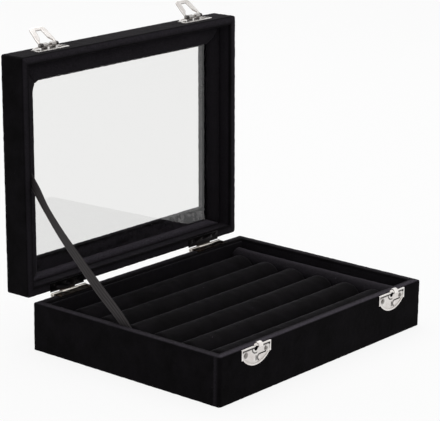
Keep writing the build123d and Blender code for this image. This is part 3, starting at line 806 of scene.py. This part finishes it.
# Bright nickel mirrors the white room, so its shape shows only where it is painted darker: a little
# tarnish, and painted shade and shadow round each nail and boss, along the groove inside the border,
# in the hook and in the barrels.
nickel, tree, shader, place = new_finish("nickel_plate")
clouds = add_node(tree, "ShaderNodeTexNoise", {
    "Vector": place, "Scale": 1 / (cloud_size * mm), "Detail": 4.0})["Fac"]
plate_tone = add_node(tree, "ShaderNodeValToRGB", {"Fac": clouds}, ramp=((0.3, "#dfd9d5"), (0.7, "#f4f1ee")))
tarnish_and_shade_share = add_node(tree, "ShaderNodeAttribute", attribute_name="tarnish")["Fac"]
plated = add_node(tree, "ShaderNodeMix", {
    "Factor": tarnish_and_shade_share, 6: plate_tone["Color"], 7: linear("#1d1715")}, data_type="RGBA")[2]
dull = add_node(tree, "ShaderNodeMapRange", {"Value": clouds, "To Min": 0.14, "To Max": 0.34})[0]
peel = add_node(tree, "ShaderNodeTexNoise", {
    "Vector": place, "Scale": 1 / (peel_size * mm), "Detail": 2.0})["Fac"]
uneven = add_node(tree, "ShaderNodeBump", {"Height": peel, "Strength": 0.12, "Distance": 0.1 * mm})
set_inputs(tree, shader, {
    "Base Color": plated, "Metallic": 1.0, "Roughness": dull, "Normal": uneven["Normal"]})


def plate_tarnish_and_shade(out, down):
    """How dark a plate is at a place right of its middle and below its straight edge: a little tarnish on
    its field, and painted shade in the groove and round the nails.  The groove is darkest near that edge,
    under the raised border, and the right nail's ring is faint on its outer, lit side."""
    inside = min(down, plate_half - abs(out), arc_radius - math.hypot(out, down + arc_rise))
    field = field_dull if inside > plate_border else 0.0
    groove = min(1.0, 1.6 * soft_line(inside - plate_border - groove_in, groove_half))
    groove *= 1.0 if down < groove_reach else 0.25
    nail = 0.85 * soft_line(math.hypot(abs(out) - nail_out, down - nail_down) - ring_radius, ring_half)
    nail *= 1.0 if out < nail_out else 0.4
    return max(field, groove, nail)


def catch_tarnish_and_shade(x, y, z):
    """The base's plate, with its hook's boss and its spring bump: painted shadow in the hook's bore, round the
    boss, and round the bump, most on its left side.
    """
    out, down = x - math.copysign(latch_middle, x), catch_edge - z
    if abs(out) < hook_half and y < hook_root:
        # Painted shadow inside the hook's bore.
        return hook_shadow if math.hypot(y - hook_y, z - hook_z) < hook_bore + 0.1 else 0.0
    from_bump = math.hypot(out - bump_out, down - bump_down)
    if from_bump < bump_foot - bump_slope:
        return 0.0
    bump = soft_line(from_bump - bump_foot - bump_slope, 0.6) * (1.0 if out < bump_out else 0.2)
    boss = 0.0
    if out < 1 and down > 1.4:
        boss = 1.2 * soft_line(math.hypot(out, 1.2 * (down - window_down)) - boss_radius, 0.5)
    return min(1.0, max(plate_tarnish_and_shade(out, down), boss, bump))


def latch_tarnish_and_shade(x, y, z):
    """The lid's plate, with painted shade round the roots of its two ears."""
    height_closed = hinge_z + (y - hinge_y) * open_sin + (z - hinge_z) * open_cos
    out, down = x - math.copysign(latch_middle, x), height_closed - latch_edge
    root = 0.95 * soft_line(math.hypot(y - pivot_y, z - pivot_z) - root_radius, root_half)
    return max(plate_tarnish_and_shade(out, down), root)


def loop_tarnish_and_shade(x, y, z):
    """A loop, painted dark as shade where its barrel turns between the ears."""
    return loop_dull + 0.7 * (math.hypot(y - pivot_y, z - pivot_z) < barrel_radius + 0.12)


def tarnish(piece, step, share):
    """Cut a piece into small faces, and write at each point how dark it is painted: tarnish and painted shade.
    """
    shape = bmesh.new()
    shape.from_mesh(piece.data)
    for axis in range(3):
        places = [v.co[axis] for v in shape.verts]
        for i in range(1, int((max(places) - min(places)) / (step * mm)) + 1):
            slice_mesh(shape, axis, min(places) + i * step * mm)
    shape.to_mesh(piece.data)
    shape.free()
    marks = piece.data.attributes.new("tarnish", "FLOAT", "POINT").data
    for v in piece.data.vertices:
        marks[v.index].value = share(*(v.co / mm))


for side in ("left", "right"):
    tarnish(dress_metal(f"{side}_catch_plate", nickel, plate_edge), catch_step, catch_tarnish_and_shade)
    tarnish(dress_metal(f"{side}_latch_plate", nickel, plate_edge), latch_step, latch_tarnish_and_shade)
    tarnish(dress_metal(f"{side}_latch_loop", nickel, plate_edge), latch_step, loop_tarnish_and_shade)
    dress_metal(f"{side}_latch_pin", steel, leaf_edge)


# Nails ---------------------------------------------------------------------------------------
# Three short steel pins through each hinge leaf, with conical heads that lie flush, and two through
# each plate, with domed heads dimpled by the punch.  One tree makes them all, on given points.
nail_steps, dimple_tightness, rim_angle = 20, 14.0, 50
nail_y, hinge_middle, hinge_nail_step, plate_face = 72.25, 66, 10, -75.6
shank = {"Shank Radius": 0.5, "Shank Length": 4.0}
flush = {"Head Radius": 1.1, "Neck Radius": 0.5, "Head Height": 0.4, "Dome": 0.05, "Dimple": 0.0, **shank}
domed = {"Head Radius": 1.1, "Neck Radius": 1.1, "Head Height": 0.3, "Dome": 0.25, "Dimple": 0.22, **shank}

nailing = bpy.data.node_groups.new("nails", "GeometryNodeTree")
named = {"Places": "NodeSocketGeometry", "Turn": "NodeSocketVector", "Finish": "NodeSocketMaterial"}
named.update({label: "NodeSocketFloat" for label in flush})
for label, kind in named.items():
    named[label] = nailing.interface.new_socket(label, in_out="INPUT", socket_type=kind).identifier
nailing.interface.new_socket("Nails", in_out="OUTPUT", socket_type="NodeSocketGeometry")
given = add_node(nailing, "NodeGroupInput")
head = add_node(nailing, "GeometryNodeMeshCone", {
    "Vertices": nail_steps, "Side Segments": 2, "Fill Segments": 5, "Radius Top": given["Head Radius"],
    "Radius Bottom": given["Neck Radius"], "Depth": given["Head Height"]})["Mesh"]
position = add_node(nailing, "GeometryNodeInputPosition")[0]
split = add_node(nailing, "ShaderNodeSeparateXYZ", {0: position})
level = add_node(nailing, "ShaderNodeCombineXYZ", {0: split[0], 1: split[1]})[0]
out = add_node(nailing, "ShaderNodeVectorMath", {0: level}, operation="LENGTH")["Value"]
out_share = add_node(nailing, "ShaderNodeMath", {0: out, 1: given["Head Radius"]}, operation="DIVIDE")[0]
squared = add_node(nailing, "ShaderNodeMath", {0: out_share, 1: 2.0}, operation="POWER")[0]
crown = add_node(nailing, "ShaderNodeMath", {0: 1.0, 1: squared}, operation="SUBTRACT")[0]
lift = add_node(nailing, "ShaderNodeMath", {0: crown, 1: given["Dome"]}, operation="MULTIPLY")[0]
tight = add_node(nailing, "ShaderNodeMath", {0: squared, 1: -dimple_tightness}, operation="MULTIPLY")[0]
pit = add_node(nailing, "ShaderNodeMath", {0: tight}, operation="EXPONENT")[0]
sunk = add_node(nailing, "ShaderNodeMath", {0: pit, 1: given["Dimple"]}, operation="MULTIPLY")[0]
rise = add_node(nailing, "ShaderNodeMath", {0: lift, 1: sunk}, operation="SUBTRACT")[0]
upward = add_node(nailing, "ShaderNodeCombineXYZ", {2: rise})[0]
above = add_node(nailing, "FunctionNodeCompare", {
    0: split[2], 1: given["Head Height"], "Epsilon": 0.01 * mm}, operation="EQUAL")[0]
shaped = add_node(nailing, "GeometryNodeSetPosition", {
    "Geometry": head, "Selection": above, "Offset": upward})[0]
rod = add_node(nailing, "GeometryNodeMeshCylinder", {
    "Vertices": nail_steps, "Radius": given["Shank Radius"], "Depth": given["Shank Length"]})["Mesh"]
half = add_node(nailing, "ShaderNodeMath", {0: given["Shank Length"], 1: -0.5}, operation="MULTIPLY")[0]
below = add_node(nailing, "ShaderNodeCombineXYZ", {2: half})[0]
driven = add_node(nailing, "GeometryNodeTransform", {"Geometry": rod, "Translation": below})[0]
nail = add_node(nailing, "GeometryNodeJoinGeometry", {0: shaped})[0]
nailing.links.new(driven, nail.node.inputs[0])
many = add_node(nailing, "GeometryNodeInstanceOnPoints", {
    "Points": given["Places"], "Instance": nail, "Rotation": given["Turn"]})[0]
real = add_node(nailing, "GeometryNodeRealizeInstances", {0: many})[0]
shaded = add_node(nailing, "GeometryNodeSetMaterial", {"Geometry": real, "Material": given["Finish"]})[0]
add_node(nailing, "NodeGroupOutput", {0: shaded})


def drive_nails(node, places, turn, sizes, finish):
    """The nails of one group, turned to a plain mesh."""
    points = bpy.data.meshes.new("nail_places")
    points.from_pydata([[c * mm for c in place] for place in places], [], [])
    carrier = new_object("nail_places", points)
    maker = carrier.modifiers.new("nails", "NODES")
    maker.node_group = nailing
    for label, size in sizes.items():
        maker[named[label]] = size * mm
    maker[named["Turn"]] = [math.radians(angle) for angle in turn]
    maker[named["Finish"]] = finish
    made = bpy.data.meshes.new_from_object(carrier.evaluated_get(bpy.context.evaluated_depsgraph_get()))
    bpy.data.objects.remove(carrier)
    made.name = f"{node}_steel"
    made.shade_smooth()
    made.set_sharp_from_angle(angle=math.radians(rim_angle))
    piece = new_object(made.name, made)
    if frame["nodes"][node]["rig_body"] == "lid":
        swing_open(piece)
    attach(piece, frame["nodes"][node]["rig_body"])
    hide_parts(node)


hinge_nail_x = [centre + step for centre in (-hinge_middle, hinge_middle)
                for step in (-hinge_nail_step, 0, hinge_nail_step)]
plate_nail_x = [centre + step for centre in (-latch_middle, latch_middle) for step in (-nail_out, nail_out)]
drive_nails("hinge_base_nails", [(x, nail_y, base_rim) for x in hinge_nail_x], (0, 0, 0), flush, bronzed)
drive_nails("hinge_lid_nails", [(x, nail_y, lid_rim) for x in hinge_nail_x], (180, 0, 0), flush, bronzed)
for node, height in (("catch_nails", catch_edge - nail_down), ("latch_nails", latch_edge + nail_down)):
    drive_nails(node, [(x, plate_face, height) for x in plate_nail_x], (90, 0, 0), domed, steel)


# Ribbon stay ---------------------------------------------------------------------------------
# A 7 mm woven ribbon of grey rayon, glued inside the left wall of the base and of the lid, which
# stops the open lid.  It is taut and twists a little between its two ends.  Threads run lengthwise.
ribbon_half_width, ribbon_half_thickness, ribbon_x = 3.5, 0.2, -94.2
selvedge, selvedge_width, edge_thinning = 0.07, 0.6, 0.08
ribbon_line = [(-5.2, 20.2, 0), (3.9, 31.0, 0), (11.2, 37.8, 2), (24.5, 48.4, 7), (41.7, 63.6, -2),
               (56.0, 76.5, -7), (68.7, 90.0, -12), (77.2, 101.0, -3), (85.0, 109.8, 0)]
ribbon_rows, ribbon_columns = 150, 12
warp_drawn, weft_thread, slack_across, slack_along = 1.848, 0.34907, 0.7692, 8.333

# Rayon threads shine a little along their length.  Warp threads are 0.3 mm wide, and are drawn as
# 1.85 mm bands so that they show.  A wave's period is pi / 10 divided by its scale.
rayon, tree, shader, place = new_finish("grey_woven_rayon", "ShaderNodeUVMap", "UV", uv_map="weave")
warp = add_node(tree, "ShaderNodeTexWave", {
    "Vector": place, "Scale": math.pi / (10 * warp_drawn), "Distortion": 0.9, "Detail": 2.0},
    wave_type="BANDS", bands_direction="X")["Fac"]
weft = add_node(tree, "ShaderNodeTexWave", {
    "Vector": place, "Scale": math.pi / (10 * weft_thread), "Distortion": 0.3},
    wave_type="BANDS", bands_direction="Y")["Fac"]
weave = add_node(tree, "ShaderNodeMath", {0: weft, 1: 0.25}, operation="MULTIPLY")[0]
pulled = add_node(tree, "ShaderNodeMapping", {
    "Vector": place, "Scale": (1 / slack_across, 1 / slack_along, 1)})[0]
slack = add_node(tree, "ShaderNodeTexNoise", {"Vector": pulled, "Scale": 1.0, "Detail": 2.0})["Fac"]
mixed = add_node(tree, "ShaderNodeMix", {0: 0.55, 2: warp, 3: slack}, data_type="FLOAT")[0]
threads = add_node(tree, "ShaderNodeMath", {0: mixed, 1: weave}, operation="ADD")[0]
thread_tone = add_node(tree, "ShaderNodeValToRGB", {"Fac": threads},
                       ramp=((0.35, "#100e0f"), (0.95, "#3d3839")))
ribs = add_node(tree, "ShaderNodeBump", {"Height": threads, "Strength": 0.5, "Distance": 0.1 * mm})
set_inputs(tree, shader, {
    "Base Color": thread_tone["Color"], "Normal": ribs["Normal"], "Roughness": 0.6,
    "Specular IOR Level": 0.3, "Sheen Weight": 0.08, "Sheen Roughness": 0.4})


def along_ribbon(share):
    """The middle's y and z, and the twist, at a share of the way up, on a smooth line through the
    ribbon's places."""
    last = len(ribbon_line) - 1
    start = min(int(share * last), last - 1)
    t = share * last - start
    four = [ribbon_line[max(0, min(last, i))] for i in range(start - 1, start + 3)]
    return [b + (c - a) * t / 2 + (2 * a - 5 * b + 4 * c - d) * t * t / 2
            + (3 * b - a - 3 * c + d) * t ** 3 / 2 for a, b, c, d in zip(*four)]


outline = [(ribbon_half_width * (2 * i / ribbon_columns - 1), 1) for i in range(ribbon_columns + 1)]
outline += [(a, -1) for a, _ in reversed(outline)]
points, lengths, around = [], [0.0], len(outline)
for row in range(ribbon_rows + 1):
    y, z, twist = along_ribbon(row / ribbon_rows)
    before = along_ribbon(max(0, (row - 0.5) / ribbon_rows))
    after = along_ribbon(min(1, (row + 0.5) / ribbon_rows))
    slope = math.atan2(after[1] - before[1], after[0] - before[0])
    twist = math.radians(twist)
    for across, face in outline:
        edge = max(0.0, abs(across) - ribbon_half_width + selvedge_width) / selvedge_width
        bead = selvedge * math.sin(math.pi * min(1.0, edge))
        thick = face * (ribbon_half_thickness + bead - edge_thinning * edge)
        out = across * math.sin(twist) + thick * math.cos(twist)
        flat = across * math.cos(twist) - thick * math.sin(twist)
        points.append((ribbon_x + out, y - flat * math.sin(slope), z + flat * math.cos(slope)))
    if row:
        lengths.append(lengths[-1] + math.dist((y, z), last_middle))
    last_middle = (y, z)
faces = tube_faces(ribbon_rows + 1, around, ring_closed=False)
faces += [tuple(range(around)), tuple(range(ribbon_rows * around, (ribbon_rows + 1) * around))]
ribbon = add_piece("ribbon_stay_woven", points, faces, rayon)
weave_map = ribbon.data.uv_layers.new(name="weave")
for loop in ribbon.data.loops:
    row, column = divmod(loop.vertex_index, around)
    weave_map.data[loop.index].uv = (outline[column][0], lengths[row])
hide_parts("ribbon_stay")
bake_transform(ribbon, "base", "lid", start=(ribbon_x * mm, 0.0039, 0.0310), end=(ribbon_x * mm, 0.0800, 0.1045))
